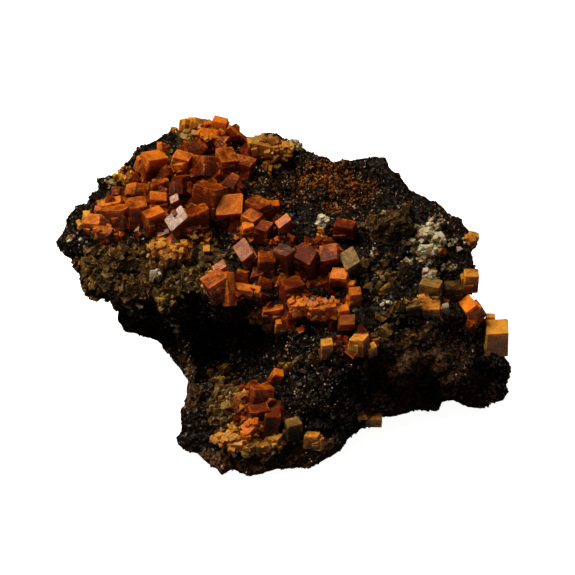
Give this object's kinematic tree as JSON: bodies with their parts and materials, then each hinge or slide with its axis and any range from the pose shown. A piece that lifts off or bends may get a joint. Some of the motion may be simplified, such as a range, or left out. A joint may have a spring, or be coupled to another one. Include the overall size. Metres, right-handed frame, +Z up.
{
  "type": "anglesite specimen",
  "caption": "Hand-size mineral specimen: blocky orange-brown anglesite crystals over a dark, granular galena matrix with a hollow under one side, standing on a flat-lying underside.",
  "frame": {"origin": "under the middle of the bounding box, on the ground it stands on", "axes": "+Z up, +X to the right and -Y towards the front, seen from the display side"},
  "size_m": [0.0757, 0.0541, 0.0394],
  "materials": {
    "galena_matrix": "rough",
    "orange_brown_anglesite": "gloss",
    "amber_anglesite": "gloss",
    "olive_anglesite": "gloss",
    "pale_anglesite": "gloss",
    "tan_anglesite": "gloss"
  },
  "bodies": {
    "root": {"crystal_cluster_upper_left": "orange_brown_anglesite", "crystal_cluster_upper_left_2": "orange_brown_anglesite", "crystal_cluster_upper_left_3": "orange_brown_anglesite", "crystal_cluster_upper_left_4": "orange_brown_anglesite", "crystal_cluster_upper_left_5": "orange_brown_anglesite", "crystal_cluster_upper_left_6": "orange_brown_anglesite", "crystal_cluster_upper_left_7": "orange_brown_anglesite", "crystal_cluster_upper_left_8": "orange_brown_anglesite", "crystal_cluster_upper_left_9": "orange_brown_anglesite", "crystal_cluster_summit": "orange_brown_anglesite", "crystal_cluster_summit_2": "orange_brown_anglesite", "amber_crystals_on_the_summit": "amber_anglesite", "olive_mass_by_the_summit": "olive_anglesite", "tan_mass_by_the_summit": "tan_anglesite", "crystal_cluster_glare": "orange_brown_anglesite", "crystal_cluster_glare_2": "orange_brown_anglesite", "crystal_cluster_middle": "orange_brown_anglesite", "crystal_cluster_middle_2": "orange_brown_anglesite", "olive_block": "olive_anglesite", "orange_block_upper_middle": "orange_brown_anglesite", "pale_grain_upper_middle": "pale_anglesite", "brown_pentagon": "orange_brown_anglesite", "winged_mass": "orange_brown_anglesite", "crystal_cluster_lower_middle": "orange_brown_anglesite", "crystal_cluster_lower_middle_2": "orange_brown_anglesite", "crystal_cluster_lower_middle_3": "orange_brown_anglesite", "orange_blocks_right_of_middle": "orange_brown_anglesite", "orange_blocks_right_of_middle_2": "orange_brown_anglesite", "amber_shard": "amber_anglesite", "amber_pair": "amber_anglesite", "yellow_cluster_left": "amber_anglesite", "olive_lump_left": "olive_anglesite", "pale_grain_left": "pale_anglesite", "olive_dome_right": "olive_anglesite", "pale_cluster_right": "pale_anglesite", "pale_cluster_right_2": "pale_anglesite", "beige_grain_right": "pale_anglesite", "olive_blocks_right": "olive_anglesite", "olive_blocks_right_2": "olive_anglesite", "olive_brown_block_right": "olive_anglesite", "amber_tip_right": "amber_anglesite", "amber_block_right": "amber_anglesite", "orange_block_right": "orange_brown_anglesite", "large_amber_crystal_right": "amber_anglesite", "large_amber_crystal_right_2": "amber_anglesite", "yellow_brown_block": "amber_anglesite", "white_grain_right": "pale_anglesite", "pocket_crust": "orange_brown_anglesite", "pocket_crust_2": "orange_brown_anglesite", "pocket_lip_crust": "amber_anglesite", "pocket_lip_crust_2": "amber_anglesite", "yellow_pebble_lobe": "amber_anglesite", "olive_pebble_lobe": "olive_anglesite", "yellow_pebble_under_edge": "amber_anglesite", "matrix": "galena_matrix"}
  },
  "joints": []
}
